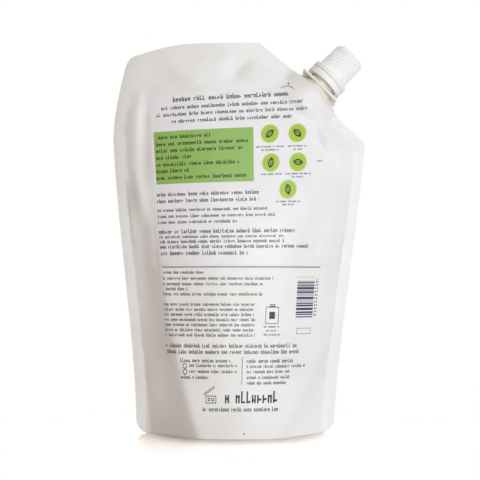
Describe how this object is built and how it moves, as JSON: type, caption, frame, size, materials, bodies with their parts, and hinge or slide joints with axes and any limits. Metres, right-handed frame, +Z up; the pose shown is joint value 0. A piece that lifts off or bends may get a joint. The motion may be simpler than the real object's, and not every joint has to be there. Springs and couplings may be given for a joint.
{
  "type": "hand soap refill pack",
  "caption": "Stand-up film refill pouch with a screw-capped spout in its cut corner, a tamper band and a sticker on the back panel.",
  "frame": {"origin": "on the table, at the middle of the pack's width and depth", "axes": "+Z up; the panel with the sticker faces -Y; the spout points to +X and +Z"},
  "size_m": [0.1267, 0.0564, 0.1955],
  "materials": {
    "matte_white_film": "matte white laminate film",
    "natural_polyethylene": "natural moulded polyethylene, slightly translucent",
    "white_polypropylene": "white moulded polypropylene, satin",
    "white_sticker": "white printed sticker with a light sheen"
  },
  "bodies": {
    "pack": {"pouch": "matte_white_film", "spout": "natural_polyethylene", "back_label": "white_sticker"},
    "turning_band": {"tamper_band": "white_polypropylene"},
    "cap": {"cap": "white_polypropylene"}
  },
  "joints": [
    {"name": "cap_turn", "type": "hinge", "parent": "pack", "child": "turning_band", "pos_m": [0.05532, 0.0091, 0.18735], "axis": [0.7033, 0.0627, 0.7082], "range_deg": [0, 720.5]},
    {"name": "cap_lift", "type": "slide", "parent": "turning_band", "child": "cap", "axis": [0.7033, 0.0627, 0.7082], "range_m": [0, 0.006]}
  ],
  "couplings": [
    {"joint": "cap_turn", "follows": "cap_lift", "rad_per_m": 2094.4}
  ]
}
